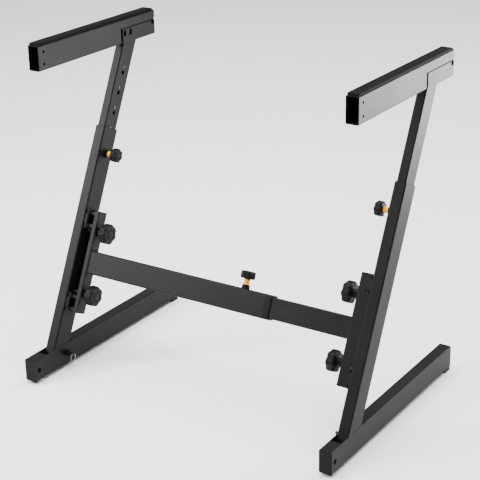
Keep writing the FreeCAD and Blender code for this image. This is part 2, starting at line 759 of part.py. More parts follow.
def width_lock():
    """The lock on top of the crossbar, its plunger facing the inner tube."""
    to_nose = (bar_height - bar_inner_height) / 2 - clear
    placed = []
    for piece in lock_pieces(to_nose):
        moved = piece.copy()
        moved.translate(V(width_lock_x, middle_depth, bar_up + bar_height / 2))
        placed.append(leaned(moved))
    return placed


def crossbar_outer():
    start = -half_spacing - bracket_inner
    low = bar_up - bar_height / 2
    high = low + bar_height
    body = tube("x", bar_front, bar_front + bar_depth, low, high, bar_corner, bar_wall, start, bar_outer_end)
    hole = rod("z", width_lock_x, middle_depth, lock_plunger + clear, high - 2 * bar_wall, high + 1)
    return leaned(body.cut(hole))


def end_collar():
    """Plastic guide in the mouth of the outer bar, with its wide collar."""
    low = bar_up - bar_height / 2
    gap_q = (bar_height - bar_inner_height) / 2 - clear
    gap_p = (bar_depth - bar_inner_depth) / 2 - clear
    collar = bar("x", bar_front, bar_front + bar_depth, low, low + bar_height, bar_corner,
                 bar_outer_end, bar_outer_end + collar_length)
    sleeve = bar("x", bar_front + bar_wall, bar_front + bar_depth - bar_wall, low + bar_wall,
                 low + bar_height - bar_wall, 0, bar_outer_end - collar_sleeve, bar_outer_end)
    way = bar("x", bar_front + gap_p, bar_front + bar_depth - gap_p, low + gap_q, low + bar_height - gap_q, 0,
              bar_outer_end - collar_sleeve - 1, bar_outer_end + collar_length + 1)
    return leaned(fuse(collar, sleeve).cut(way))


def crossbar_inner():
    p0 = (outer_depth - bar_inner_depth) / 2
    q0 = bar_up - bar_inner_height / 2
    end = half_spacing + bracket_inner
    return leaned(tube("x", p0, p0 + bar_inner_depth, q0, q0 + bar_inner_height, bar_inner_corner,
                       bar_inner_wall, bar_inner_tail, end))


def crossbar_plug():
    """Plastic plug in the hidden end of the inner bar."""
    p0 = (outer_depth - bar_inner_depth) / 2
    q0 = bar_up - bar_inner_height / 2
    wall = bar_inner_wall
    rim = bar("x", p0, p0 + bar_inner_depth, q0, q0 + bar_inner_height, bar_inner_corner,
              bar_inner_tail - plug_rim, bar_inner_tail)
    plug = bar("x", p0 + wall, p0 + bar_inner_depth - wall, q0 + wall, q0 + bar_inner_height - wall,
               0, bar_inner_tail, bar_inner_tail + plug_depth)
    inset = wall + plug_wall
    core = bar("x", p0 + inset, p0 + bar_inner_depth - inset, q0 + inset, q0 + bar_inner_height - inset,
               0, bar_inner_tail + plug_wall, bar_inner_tail + plug_depth + 1)
    return leaned(fuse(plug.cut(core), rim))


# ---------------------------------------------------------------- build
os.makedirs("parts", exist_ok=True)

save_pair("leg_tube", leg_tube())
save_pair("leg_front_cap", leg_front_cap())
save_pair("levelling_cam", levelling_cam())
save_pair("leg_rear_cap", leg_rear_cap())
save_pair("leg_hinge_rivet", leg_hinge_rivet())
lock_boss_piece, lock_pin_piece, lock_ring_piece = leg_lock()
save_pair("leg_lock_boss", lock_boss_piece)
save_pair("leg_lock_pin", lock_pin_piece)
save_pair("leg_lock_ring", lock_ring_piece)

save_pair("upright_outer", upright_outer())
save_pair("upright_guide", guide_bush())
save_pair("upright_inner", upright_inner())
save_pair("upright_plug", inner_plug())
for piece_name, piece in zip(("boss", "sleeve", "knob"), height_lock()):
    save_pair("height_lock_" + piece_name, piece)

save_pair("arm_head", arm_head())
save_pair("arm_tube", arm_tube())
save_pair("arm_hinge_channel", hinge_channel())
save_pair("arm_pivot_bolt", arm_pivot())
save_pair("arm_pad", arm_pad())

save_right("hinge_bracket", hinge_bracket("rear"))
save_left("hinge_bracket", hinge_bracket("front"))
save_pair("bracket_hinge_pins", *hinge_pins())
save_pair("clamp_knob_upper", clamp_knob(clamp_high))
save_pair("clamp_knob_lower", clamp_knob(clamp_low))

save("crossbar_outer", crossbar_outer())
save("crossbar_collar", end_collar())
save("crossbar_inner", crossbar_inner())
save("crossbar_plug", crossbar_plug())
for piece_name, piece in zip(("boss", "sleeve", "knob"), width_lock()):
    save("width_lock_" + piece_name, piece)
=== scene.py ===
import json
import math

import bpy
import numpy as np
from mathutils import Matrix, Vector


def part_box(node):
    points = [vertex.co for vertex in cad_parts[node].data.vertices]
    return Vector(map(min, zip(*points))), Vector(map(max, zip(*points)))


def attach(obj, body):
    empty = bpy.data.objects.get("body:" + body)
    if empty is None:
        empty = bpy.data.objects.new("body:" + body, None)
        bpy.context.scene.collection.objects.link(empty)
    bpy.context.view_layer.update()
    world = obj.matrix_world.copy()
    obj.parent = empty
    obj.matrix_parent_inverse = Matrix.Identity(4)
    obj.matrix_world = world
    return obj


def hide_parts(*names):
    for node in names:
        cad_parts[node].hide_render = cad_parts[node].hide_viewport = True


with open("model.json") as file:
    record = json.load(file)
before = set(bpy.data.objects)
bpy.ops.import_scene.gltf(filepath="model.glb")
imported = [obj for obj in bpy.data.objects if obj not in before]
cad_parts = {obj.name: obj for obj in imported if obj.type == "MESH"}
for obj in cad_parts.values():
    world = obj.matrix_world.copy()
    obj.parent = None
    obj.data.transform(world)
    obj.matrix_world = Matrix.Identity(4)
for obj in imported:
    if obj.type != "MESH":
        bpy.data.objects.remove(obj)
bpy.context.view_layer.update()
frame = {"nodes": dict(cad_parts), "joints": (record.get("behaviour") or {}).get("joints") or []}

# ---------------------------------------------------------------- places on the stand (metres)
SIDES = {"right": 1.0, "left": -1.0}
CARRIERS = {"right": "crossbar_slide", "left": "crossbar"}      # what each side's bracket moves with
LEAN = math.radians(25.7)
ACROSS = np.array([1.0, 0.0, 0.0])
UP = np.array([0.0, math.sin(LEAN), math.cos(LEAN)])
BACK = np.array([0.0, math.cos(LEAN), -math.sin(LEAN)])
FOOT = np.array([0.0, -0.1947, 0.0565])      # where the uprights' front faces meet the legs' tops
FRAME_X = 0.362              # from the stand's middle to a side frame's
MID_DEPTH = 0.024            # from an upright's front face to the middle of it and of the crossbar
UPRIGHT_HALF = 0.0125        # half the outer upright's width
MAST_HALF = 0.010            # half the inner upright's width
CHEEK = 0.0135               # half the width of an arm and of its head
BRACKET_BACK = 0.042         # from a side frame's middle to its bracket's inner face
CROSSBAR_UP = 0.2015         # the crossbar's middle, up the lean
CROSSBAR_HALF = 0.025        # half the outer crossbar's height
FIRST_HOLE_UP = 0.6190
HOLE_PITCH = 0.045
HOLE_COUNT = 6
LOBES = 7
JOINTS = {joint["name"]: joint for joint in frame["joints"]}
ARM_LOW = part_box("arm_head_right")[0].z


def leaned(x, depth, up):
    """A place given across the stand, back from the upright's front face and up its lean."""
    return FOOT + ACROSS * x + BACK * depth + UP * up


# ---------------------------------------------------------------- shader maths
class Field:
    """A value that varies over a surface. Arithmetic on it adds Math nodes."""

    def __init__(self, paint, socket):
        self.paint = paint
        self.socket = socket

    def math(self, operation, *others):
        return self.paint.node("ShaderNodeMath", {"operation": operation}, self, *others)

    def __add__(self, other):
        return self.math("ADD", other)

    def __sub__(self, other):
        return self.math("SUBTRACT", other)

    def __mul__(self, other):
        return self.math("MULTIPLY", other)

    def __rsub__(self, other):
        return self.paint.node("ShaderNodeMath", {"operation": "SUBTRACT"}, other, self)

    __radd__ = __add__
    __rmul__ = __mul__

    def above(self, low, high):
        """0 under low, 1 over high, smooth between."""
        smooth = {"interpolation_type": "SMOOTHSTEP"}
        return self.paint.node("ShaderNodeMapRange", smooth, self, low, high, 0.0, 1.0)


class Paint:
    """One finish: a Principled surface and the nodes that vary it."""

    def __init__(self, name):
        self.material = bpy.data.materials.new(name)
        self.material.use_nodes = True
        self.tree = self.material.node_tree
        self.surface = self.tree.nodes["Principled BSDF"]
        self.place = self.node("ShaderNodeTexCoord", {}, out="Object")

    def node(self, kind, settings, *values, out=0, **named):
        """Adds a node, sets it up, fills its sockets in order or by name, and gives one output."""
        made = self.tree.nodes.new(kind)
        for key, value in settings.items():
            setattr(made, key, value)
        for key, value in list(enumerate(values)) + list(named.items()):
            self.fill(made.inputs[key], value)
        return Field(self, made.outputs[out])

    def fill(self, socket, value):
        if isinstance(value, Field):
            self.tree.links.new(value.socket, socket)
        elif value is not None:
            socket.default_value = value

    def noise(self, scale, detail=2.0, roughness=0.5, where=None):
        return self.node("ShaderNodeTexNoise", {}, Vector=where or self.place, Scale=scale, Detail=detail,
                         Roughness=roughness)

    def cells(self, scale):
        return self.node("ShaderNodeTexVoronoi", {}, Vector=self.place, Scale=scale, out="Distance")

    def along(self, direction):
        """How far a point lies along a direction, in metres."""
        product = {"operation": "DOT_PRODUCT"}
        return self.node("ShaderNodeVectorMath", product, self.place, tuple(direction), out=1)

    def spread(self, first, second, third):
        return self.node("ShaderNodeCombineXYZ", {}, first, second, third)

    def mix(self, share, one, other):
        """A colour between two."""
        made = self.tree.nodes.new("ShaderNodeMix")
        made.data_type = "RGBA"
        for index, value in ((0, share), (6, one), (7, other)):
            if not isinstance(value, (Field, float, int)):
                value = (*value, 1.0) if len(value) == 3 else value
            self.fill(made.inputs[index], value)
        return Field(self, made.outputs[2])

    def done(self, colour, roughness, relief=None, depth=0.00005, **fixed):
        """Connects what varies, and sets the rest on the surface's own sockets."""
        if not isinstance(colour, Field):
            colour = (*colour, 1.0)
        self.fill(self.surface.inputs["Base Color"], colour)
        self.fill(self.surface.inputs["Roughness"], roughness)
        if relief is not None:
            bump = self.node("ShaderNodeBump", {}, Height=relief, Distance=depth, Strength=1.0, out="Normal")
            self.fill(self.surface.inputs["Normal"], bump)
        for key, value in fixed.items():
            self.surface.inputs[key.replace("_", " ")].default_value = value
        return self.material


# ---------------------------------------------------------------- finishes
def powder_coat(name, slide=None, across=None):
    """Satin black powder coat: orange peel and a faint cloudiness.

    A sliding tube also has rub marks along its slide, thin across it."""
    paint = Paint(name)
    cloud = paint.noise(9.0, 3.0)
    peel = paint.noise(900.0, 2.0, 0.6)
    grit = paint.noise(3200.0, 1.0, 0.5)
    colour = paint.mix(cloud.above(0.3, 0.7), (0.0036, 0.0034, 0.0037), (0.0054, 0.0051, 0.0056))
    speck = paint.cells(420.0).math("LESS_THAN", 0.035)
    dust = speck * paint.noise(60.0, 2.0).above(0.5, 0.62)
    colour = paint.mix(dust * 0.20, colour, (0.10, 0.097, 0.094))
    roughness = 0.36 + 0.10 * cloud + 0.10 * peel
    if slide is not None:
        side = paint.along(BACK) * 900.0 + paint.along(across) * 900.0
        streak = paint.noise(1.0, 3.0, 0.6, paint.spread(side, paint.along(slide) * 14.0, 0.0))
        mark = streak.above(0.56, 0.74) * paint.noise(22.0, 2.0).above(0.35, 0.6)
        colour = paint.mix(mark * 0.30, colour, (0.07, 0.07, 0.073))
        roughness = roughness - 0.10 * mark
    return paint.done(colour, roughness, peel * 0.8 + grit * 0.2, 0.00003, Specular_IOR_Level=0.12)


def moulded(name, colour, grain, low, high, sheen):
    """Moulded plastic: a spark-eroded grain and a slight unevenness in tone and gloss."""
    paint = Paint(name)
    cloud = paint.noise(45.0, 2.0)
    texture = paint.noise(grain, 3.0, 0.65)
    lighter = tuple(c * 1.5 for c in colour)
    shade = paint.mix(cloud.above(0.3, 0.75), colour, lighter)
    rough = low + (high - low) * texture
    return paint.done(shade, rough, texture, 0.00004, Specular_IOR_Level=sheen)


def amber(name):
    """Amber moulded sleeve: clear colour, soft gloss, a little mottled from the mould."""
    paint = Paint(name)
    cloud = paint.noise(160.0, 2.0)
    texture = paint.noise(2400.0, 2.0)
    shade = paint.mix(cloud.above(0.3, 0.7), (0.92, 0.33, 0.002), (0.98, 0.42, 0.004))
    return paint.done(shade, 0.28 + 0.12 * texture, texture, 0.00001, Specular_IOR_Level=0.3)


def plated(name):
    """Zinc plate: pale metal with fine rubbing marks and a duller bloom."""
    paint = Paint(name)
    bloom = paint.noise(130.0, 3.0, 0.6)
    scratch = paint.noise(2600.0, 2.0, 0.7)
    shade = paint.mix(bloom.above(0.35, 0.7), (0.36, 0.36, 0.37), (0.24, 0.24, 0.25))
    return paint.done(shade, 0.22 + 0.22 * bloom + 0.08 * scratch, scratch, 0.000008, Metallic=1.0)


def blackened(name):
    """Blackened steel: dark oxide, worn paler where it is handled."""
    paint = Paint(name)
    bloom = paint.noise(210.0, 3.0, 0.6)
    grain = paint.noise(2600.0, 2.0, 0.6)
    shade = paint.mix(bloom.above(0.52, 0.8), (0.012, 0.012, 0.013), (0.045, 0.044, 0.043))
    return paint.done(shade, 0.34 + 0.20 * bloom, grain, 0.00001, Metallic=0.7)


def pad_rubber(name):
    """Textured pad: close pebbled cells with a finer grain, a little greyer where cells meet."""
    paint = Paint(name)
    pebble = paint.cells(620.0)
    grain = paint.noise(2600.0, 3.0, 0.7)
    cloud = paint.noise(28.0, 3.0)
    relief = pebble.above(0.05, 0.55) * 0.75 + grain * 0.35
    shade = paint.mix(cloud.above(0.35, 0.7), (0.0016, 0.0016, 0.0017), (0.0030, 0.0030, 0.0029))
    shade = paint.mix(pebble.above(0.42, 0.65) * 0.5, shade, (0.0056, 0.0055, 0.0054))
    return paint.done(shade, 0.74 + 0.18 * grain, relief, 0.00022, Specular_IOR_Level=0.08)


def printed(name):
    """White printed figures, a little thin in places."""
    paint = Paint(name)
    thin = paint.noise(1400.0, 3.0, 0.6)
    shade = paint.mix(thin.above(0.55, 0.72) * 0.45, (0.34, 0.34, 0.33), (0.12, 0.12, 0.12))
    return paint.done(shade, 0.5 + 0.1 * thin, thin, 0.00001)


FINISH = {
    "coat": powder_coat("black_powder_coat"),
    "coat_mast": powder_coat("black_powder_coat_mast", UP, ACROSS),
    "coat_bar": powder_coat("black_powder_coat_bar", ACROSS, UP),
    "cap": moulded("black_moulding", (0.0030, 0.0030, 0.0032), 1500.0, 0.46, 0.66, 0.10),
    "knob": moulded("knob_moulding", (0.0022, 0.0022, 0.0024), 1100.0, 0.40, 0.64, 0.11),
    # Near-black and almost unreflective; on the head seam strips this finish is painted shadow.
    "matt_and_shadow": moulded("matt_and_shadow_moulding", (0.0007, 0.0007, 0.0008), 1300.0, 0.70, 0.88, 0.03),
    "amber": amber("amber_moulding"),
    "zinc": plated("zinc_plate"),
    "bolt": blackened("blackened_steel"),
    "pad": pad_rubber("pebbled_rubber"),
    "print": printed("white_print"),
}

CAD_FINISH = {
    "coat": ("leg_tube", "upright_outer", "arm_head", "arm_tube", "arm_hinge_channel", "hinge_bracket",
             "crossbar_outer"),
    "coat_mast": ("upright_inner",),
    "coat_bar": ("crossbar_inner",),
    "cap": ("leg_front_cap", "leg_rear_cap", "leg_lock_boss", "upright_guide", "upright_plug",
            "height_lock_boss", "crossbar_collar", "crossbar_plug", "width_lock_boss"),
    "knob": ("height_lock_knob", "width_lock_knob", "clamp_knob_upper", "clamp_knob_lower"),
    "matt_and_shadow": ("levelling_cam", "arm_pivot_bolt"),
    "amber": ("height_lock_sleeve", "width_lock_sleeve"),
    "bolt": ("leg_hinge_rivet", "leg_lock_pin", "bracket_hinge_pins"),
    "zinc": ("leg_lock_ring",),
    "pad": ("arm_pad",),
}
for finish, stems in CAD_FINISH.items():
    for stem in stems:
        for node in (stem, stem + "_left", stem + "_right"):
            if node in frame["nodes"]:
                slots = frame["nodes"][node].material_slots
                for place in slots:
                    place.material = FINISH[finish]


# ---------------------------------------------------------------- surfaces
def piece(name, vertices, faces, finish, body, crease=38.0):
    """A named mesh with its finish, shaded smooth up to the crease angle, riding on a body."""
    mesh = bpy.data.meshes.new(name)
    mesh.from_pydata(vertices.tolist(), [], faces)
    mesh.polygons.foreach_set("use_smooth", np.ones(len(mesh.polygons), bool))
    mesh.set_sharp_from_angle(angle=math.radians(crease))
    mesh.materials.append(FINISH[finish])
    mesh.update()
    made = bpy.data.objects.new(name, mesh)
    bpy.context.scene.collection.objects.link(made)
    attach(made, body)
    return made


def skin(rings, looped=False):
    """Quads over a stack of closed rings, shape (rings, points, 3).

    Each ring runs anticlockwise about the way the stack grows, so the faces look outward.
    An open stack gets a fan at each end, to the middle of its ring; a looped one joins up."""
    count, around, _ = rings.shape
    last = count if looped else count - 1
    row, col = np.meshgrid(np.arange(last), np.arange(around), indexing="ij")
    above, beside = (row + 1) % count, (col + 1) % around
    quads = np.stack([row * around + col, row * around + beside,
                      above * around + beside, above * around + col], -1)
    vertices = rings.reshape(-1, 3)
    faces = quads.reshape(-1, 4).tolist()
    if looped:
        return vertices, faces
    here = np.arange(around)
    there = (here + 1) % around
    low, high = count * around, count * around + 1
    start = np.stack([there, here, np.full(around, low)], -1)
    end = np.stack([here, there, np.full(around, high)], -1) + [(count - 1) * around, (count - 1) * around, 0]
    vertices = np.concatenate([vertices, rings[0].mean(0)[None], rings[-1].mean(0)[None]])
    return vertices, faces + start.tolist() + end.tolist()


def stand_on(points, origin, along, side):
    """Local (x, y, z) to the stand: z goes along, x goes to the side, y completes the right-handed three."""
    along = np.asarray(along, float)
    side = np.asarray(side, float)
    return np.asarray(origin) + points[..., :1] * side + points[..., 1:2] * np.cross(along, side) + \
        points[..., 2:] * along


def filleted(corners, radii, steps=6):
    """An open profile through corners, each rounded by an arc that is tangent to both its sides.

    The arc's centre lies on the corner's bisector, at the radius over the sine of half the angle."""
    corners = np.asarray(corners, float)
    out = [corners[0][None]]
    for before, here, after, radius in zip(corners[:-2], corners[1:-1], corners[2:], radii):
        back, ahead = before - here, after - here
        back, ahead = back / np.linalg.norm(back), ahead / np.linalg.norm(ahead)
        half = math.acos(np.clip(back @ ahead, -1, 1)) / 2
        if radius <= 0 or half > 1.55:
            out.append(here[None])
            continue
        reach = radius / math.tan(half)
        centre = here + (back + ahead) / np.linalg.norm(back + ahead) * radius / math.sin(half)
        start, end = here + back * reach - centre, here + ahead * reach - centre
        share = np.linspace(0, 1, steps)[:, None]
        arc = start * np.sin((1 - share) * (math.pi - 2 * half)) + end * np.sin(share * (math.pi - 2 * half))
        out.append(centre + arc / math.sin(math.pi - 2 * half))
    out.append(corners[-1][None])
    return np.concatenate(out)


def turned(profile, around=48):
    """A lathe form: each (radius, height) of the profile is a ring at that height with that radius."""
    angle = np.linspace(0, 2 * math.pi, around, endpoint=False)
    radius, height = profile[:, :1], profile[:, 1:]
    return np.stack([radius * np.cos(angle), radius * np.sin(angle), height + 0 * angle], -1)


def lobed(profile, rim, lobes, depth, around=112):
    """A lathe form drawn in between its lobes.

    The radius at an angle is the profile's radius times 1 - depth * w * f, where f is
    ((1 - cos(lobes * angle)) / 2) to the power 1.4, and w rises smoothly from 0 at half the rim to 1 near it.
    The top also sinks and the underside rises by 0.9 mm times f * w, so that each flute has a soft lip."""
    angle = np.linspace(0, 2 * math.pi, around, endpoint=False)
    radius, height = profile[:, :1], profile[:, 1:]
    weight = np.clip((radius / rim - 0.5) / 0.42, 0, 1)
    weight = weight * weight * (3 - 2 * weight)
    flute = ((1 - np.cos(lobes * angle)) / 2) ** 1.4
    drawn = radius * (1 - depth * weight * flute)
    middle = height.mean()
    dip = 0.0009 * flute * weight * np.sign(height - middle)
    return np.stack([drawn * np.cos(angle), drawn * np.sin(angle), height - dip], -1)


def threaded(radius, start, end, pitch=0.00125, depth=0.00045, around=36):
    """A screw: the radius less depth times a triangle wave of height / pitch - angle / (2 pi).

    It is tapered at both ends."""
    angle = np.linspace(0, 2 * math.pi, around, endpoint=False)
    height = np.linspace(start, end, int(abs(end - start) / pitch * 8) + 2)[:, None]
    turn = np.mod(height / pitch - angle / (2 * math.pi), 1.0)
    groove = depth * (1 - np.abs(2 * turn - 1))
    away = np.minimum(np.abs(height - start), np.abs(height - end)) / 0.0012
    taper = depth * np.clip(1 - away, 0, 1)
    reach = radius - np.maximum(groove, taper)
    return np.stack([reach * np.cos(angle), reach * np.sin(angle), height + 0 * angle], -1)


def bead(name, path, flat, thick, body):
    """A weld bead: a round section carried along a closed path, its radius rippled by the torch's steps."""
    around = 10
    count = len(path)
    ahead = np.roll(path, -1, 0) - np.roll(path, 1, 0)
    ahead /= np.linalg.norm(ahead, axis=1)[:, None]
    run = np.cumsum(np.linalg.norm(path - np.roll(path, 1, 0), axis=1))
    ripple = thick * (1 + 0.10 * np.sin(run / 0.0011) + 0.05 * np.sin(run / 0.0031 + 1.0))
    level = np.tile(np.asarray(flat, float), (count, 1))
    side = np.cross(level, ahead)
    angle = np.linspace(0, 2 * math.pi, around, endpoint=False)
    rings = path[:, None] + ripple[:, None, None] * (side[:, None] * np.cos(angle)[None, :, None] +
                                                     level[:, None] * np.sin(angle)[None, :, None])
    vertices, faces = skin(rings[:, ::-1], looped=True)
    return piece(name, vertices, faces, "coat", body, 70.0)


def rounded_loop(width, height, corner, steps=220):
    """Points evenly along a rounded rectangle, anticlockwise, as (steps, 2).

    Four quarter circles are joined by straight lines, and the whole run is divided evenly."""
    half_w, half_h = width / 2 - corner, height / 2 - corner
    quarter = np.linspace(0, math.pi / 2, 8)
    parts = []
    middles = ((half_w, half_h), (-half_w, half_h), (-half_w, -half_h), (half_w, -half_h))
    for i, (cx, cy) in enumerate(middles):
        turn = quarter + i * math.pi / 2
        parts.append(np.stack([cx + corner * np.cos(turn), cy + corner * np.sin(turn)], -1))
    loop = np.concatenate(parts)
    closed = np.concatenate([loop, loop[:1]])
    run = np.concatenate([[0], np.cumsum(np.linalg.norm(np.diff(closed, axis=0), axis=1))])
    at = np.linspace(0, run[-1], steps, endpoint=False)
    return np.stack([np.interp(at, run, closed[:, 0]), np.interp(at, run, closed[:, 1])], -1)


# ---------------------------------------------------------------- clamp knobs and their studs
def knob_profile(rim, thick, neck_radius, neck):
    """Neck, underside, rounded rim, crown, and a round cap let into the middle of the face."""
    top = neck + thick
    corners = [(0.0001, 0.0), (neck_radius, 0.0), (neck_radius, neck), (rim - 0.001, neck),
               (rim, neck + 0.003), (rim, top - 0.0035), (rim * 0.93, top - 0.0006), (rim * 0.50, top),
               (rim * 0.47, top - 0.0011), (rim * 0.43, top - 0.0011), (rim * 0.40, top - 0.0001),
               (0.0001, top + 0.0004)]
    radii = [0.0006, 0.0009, 0.0012, 0.0014, 0.0030, 0.0020, 0.0004, 0.0002, 0.0002, 0.0004]
    return filleted(corners, radii, 5)


def clamp(level, side, sign):
    """A lobed clamp knob, its neck just clear of the bracket, and the stud that runs to the upright."""
    rim, thick, neck_radius, neck, clear = 0.0225, 0.0185, 0.009, 0.013, 0.0003
    body = "clamp_%s_%s" % (level, side)
    axle = JOINTS["clamp_%s_turn_%s" % (level, side)]["pos_m"]
    origin = np.array([sign * (FRAME_X - BRACKET_BACK - clear), axle[1], axle[2]])
    inward = np.array([-sign, 0.0, 0.0])
    rings = lobed(knob_profile(rim, thick, neck_radius, neck), rim, LOBES, 0.065)
    vertices, faces = skin(stand_on(rings, origin, inward, UP))
    knob = piece("hand_knob_%s_%s" % (level, side), vertices, faces, "knob", body)
    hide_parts("clamp_knob_%s_%s" % (level, side))
    stud_radius, stud_tip, stud_root = 0.004, -0.0295, -0.0006
    stud = threaded(stud_radius, stud_tip, stud_root)
    vertices, faces = skin(stand_on(stud, origin, inward, UP))
    piece("knob_stud_%s_%s" % (level, side), vertices, faces, "bolt", body, 25.0)


for side, sign in SIDES.items():
    for level in ("upper", "lower"):
        clamp(level, side, sign)


# ---------------------------------------------------------------- pull-and-turn locks
def lock(name, origin, along, side, sleeve_body, knob_body, sleeve_node, knob_node):
    """Amber sleeve, its steel plunger and the lobed knob, along the lock's axis from the tube's face.

    The sleeve's middle is drawn in by up to 3 % between its 14 fine ribs."""
    start, length = 0.0083, 0.011
    end = start + length
    wide, waist, bore, around = 0.0063, 0.0057, 0.0036, 56
    profile = filleted([(bore, start), (wide, start), (wide, start + 0.0022), (waist, start + 0.0028),
                        (waist, end - 0.0030), (wide, end - 0.0024), (wide, end), (bore, end)],
                       [0.0005, 0.0003, 0.0003, 0.0003, 0.0003, 0.0005], 5)
    ribbed = profile[:, 0] < waist + 0.0001
    sleeve = turned(profile, around)
    angle = np.linspace(0, 2 * math.pi, around, endpoint=False)
    drawn = 1 - 0.03 * (0.5 + 0.5 * np.cos(14 * angle))
    sleeve[ribbed, :, :2] *= drawn[None, :, None]
    vertices, faces = skin(stand_on(sleeve, origin, along, side))
    made = piece(name + "_sleeve", vertices, faces, "amber", sleeve_body)
    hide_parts(sleeve_node)
    tip = end + 0.0078
    plunger = filleted([(0.0001, -0.0020), (0.0022, -0.0020), (0.0035, -0.0006), (0.0035, tip),
                        (0.0001, tip)], [0.0005, 0.0006, 0.0003], 4)
    vertices, faces = skin(stand_on(turned(plunger, 40), origin, along, side))
    piece(name + "_plunger", vertices, faces, "zinc", sleeve_body)
    rim, thick, clear = 0.0155, 0.016, 0.00012
    profile = knob_profile(rim, thick, 0.0065, 0.001)
    profile[:, 1] += end + clear
    vertices, faces = skin(stand_on(lobed(profile, rim, LOBES, 0.075), origin, along, side))
    made = piece(name + "_grip", vertices, faces, "knob", knob_body)
    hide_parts(knob_node)


for side, sign in SIDES.items():
    spot = JOINTS["height_lock_turn_" + side]["pos_m"]
    origin = np.array([sign * (FRAME_X - UPRIGHT_HALF), spot[1], spot[2]])
    lock("height_lock_" + side, origin, (-sign, 0, 0), UP, "height_pull_" + side, "height_knob_" + side,
         "height_lock_sleeve_" + side, "height_lock_knob_" + side)
WIDTH_LOCK_X = 0.068
lock("width_lock", leaned(WIDTH_LOCK_X, MID_DEPTH, CROSSBAR_UP + CROSSBAR_HALF), UP, ACROSS, "width_pull",
     "width_knob", "width_lock_sleeve", "width_lock_knob")


# ---------------------------------------------------------------- pull rings
def pull_ring(side, bend=0.0076, wire=0.0008, around=72, across=14):
    """A wire ring in its CAD node's place: a circle of the wire's radius carried round one of the bend's."""
    low, high = (np.array(corner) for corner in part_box("leg_lock_ring_" + side))
    turn = np.linspace(0, 2 * math.pi, around, endpoint=False)[:, None]
    section = np.linspace(0, 2 * math.pi, across, endpoint=False)
    reach = bend + wire * np.cos(section)
    thick = np.broadcast_to(wire * np.sin(section), (around, across))
    rings = np.stack([thick, reach * np.cos(turn), reach * np.sin(turn)], -1) + (low + high) / 2
    vertices, faces = skin(rings[:, ::-1], looped=True)
    ring = piece("pull_ring_" + side, vertices, faces, "zinc", "ring_" + side, 60.0)
    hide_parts("leg_lock_ring_" + side)


for side in SIDES:
    pull_ring(side)


# ---------------------------------------------------------------- arm pads and pivots
def pad_rings(low, high):
    """Sections of the pad along the arm.

    Each section is a strip with round top corners and six shallow grooves, each the top of a cosine wave,
    and the strip tapers to its underside over the bevel at each end."""
    width, height = high[0] - low[0], high[2] - low[2]
    length = high[1] - low[1]
    half, edge = width / 2, 0.0018
    top = np.linspace(half - edge, -half + edge, 61)
    groove = 0.00030 * np.clip(np.cos(top / (width - 2 * edge) * 2 * math.pi * 5.5 + math.pi) - 0.2, 0, 1)
    turn = np.linspace(0, math.pi / 2, 6)
    right = np.stack([half - edge + edge * np.cos(turn), height - edge + edge * np.sin(turn)], -1)
    left = np.stack([-half + edge - edge * np.sin(turn), height - edge + edge * np.cos(turn)], -1)
    section = np.concatenate([[(half, 0.0)], right, np.stack([top, height - groove], -1)[1:-1], left,
                              [(-half, 0.0)]])
    run = np.concatenate([np.linspace(0, 0.003, 8), np.linspace(0.004, length - 0.0075, 60),
                          np.linspace(length - 0.0070, length, 12)])
    front = np.clip(run / 0.0022, 0, 1)
    rear = np.clip((length - run) / 0.0062, 0, 1)
    lift = (1 - (1 - front) ** 2) ** 0.5 * (1 - (1 - rear) ** 2.2) ** 0.8
    lift = np.maximum(lift, 0.12)
    inset = 1 - 0.05 * (1 - lift)
    x = section[None, :, 0] * inset[:, None]
    z = section[None, :, 1] * lift[:, None]
    y = np.broadcast_to(run[:, None], x.shape)
    rings = np.stack([x, y, z], -1) + [(low[0] + high[0]) / 2, low[1], low[2]]
    return rings[:, ::-1]


def pad_strip(side):
    """The soft pad in its CAD node's place."""
    low, high = (np.array(corner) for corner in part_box("arm_pad_" + side))
    vertices, faces = skin(pad_rings(low, high))
    pad = piece("pad_strip_" + side, vertices, faces, "pad", "arm_" + side, 50.0)
    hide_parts("arm_pad_" + side)


def pivot_rivet(side, head_radius=0.0055, shank=0.0035, head=0.0016):
    """A turned rivet with a domed head at each end, in its CAD node's place."""
    low, high = (np.array(corner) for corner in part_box("arm_pivot_bolt_" + side))
    half = (high[0] - low[0]) / 2
    face = half - head
    profile = filleted([(0.0001, -half), (0.0030, -half), (head_radius, -face - 0.0003), (head_radius, -face),
                        (shank, -face), (shank, face), (head_radius, face), (head_radius, face + 0.0003),
                        (0.0030, half), (0.0001, half)],
                       [0.004, 0.0006, 0.0001, 0, 0, 0.0001, 0.0006, 0.004], 6)
    vertices, faces = skin(stand_on(turned(profile, 40), (low + high) / 2, ACROSS, (0, 1, 0)))
    made = piece("pivot_rivet_" + side, vertices, faces, "matt_and_shadow", "mast_" + side)
    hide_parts("arm_pivot_bolt_" + side)


for side in SIDES:
    pad_strip(side)
    pivot_rivet(side)


# ---------------------------------------------------------------- painted seam shadows on the heads
def joined(skins):
    """Several skins as one list of vertices and faces."""
    vertices, faces = [], []
    for points, quads in skins:
        faces += [[corner + len(vertices) for corner in quad] for quad in quads]
        vertices += points.tolist()
    return np.array(vertices), faces


